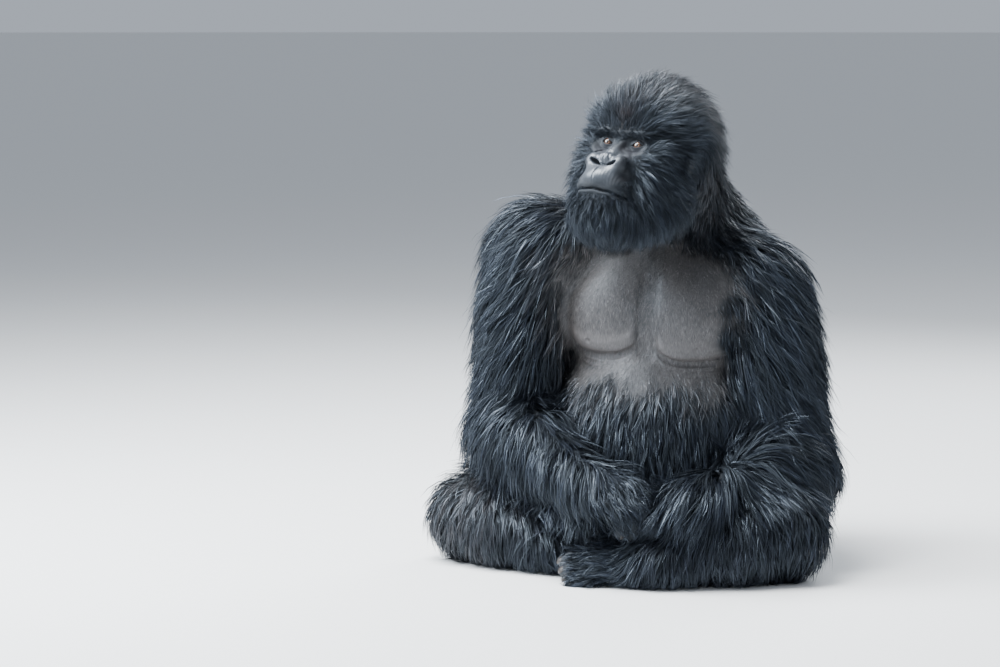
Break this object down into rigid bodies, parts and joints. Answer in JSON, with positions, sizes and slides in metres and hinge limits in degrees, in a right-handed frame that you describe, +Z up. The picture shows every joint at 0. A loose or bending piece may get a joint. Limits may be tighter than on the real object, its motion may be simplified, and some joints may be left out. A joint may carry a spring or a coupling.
{
  "type": "seated mountain gorilla model",
  "caption": "Still life-size model of an adult male mountain gorilla, seated upright with splayed knees and forearms crossed in its lap, head turned to its right.",
  "frame": {"origin": "on the floor under the middle of the seat, at the flat the pelvis rests on", "axes": "+Z up, the animal's body faces -Y, +X is the animal's left"},
  "size_m": [0.9044, 0.7747, 1.0868],
  "materials": {
    "coat": "long black hair with a blue-grey sheen",
    "saddle": "short silver-grey hair of the back and seat",
    "chest_skin": "nearly bare grey-brown skin, satin",
    "leather": "bare black skin, half glossy",
    "amber": "wet glossy eyeball, amber-brown iris"
  },
  "bodies": {
    "root": {"belly": "coat", "chest": "chest_skin", "ear_left": "leather", "ear_right": "leather", "eye_left": "amber", "eye_right": "amber", "foot_left": "leather", "foot_right": "leather", "forearm_left": "coat", "forearm_right": "coat", "hand_left": "leather", "hand_right": "leather", "head": "coat", "jaw": "coat", "muzzle": "leather", "neck": "coat", "pelvis": "saddle", "shank_left": "coat", "shank_right": "coat", "thigh_left": "coat", "thigh_right": "coat", "upper_arm_left": "coat", "upper_arm_right": "coat"}
  },
  "joints": []
}
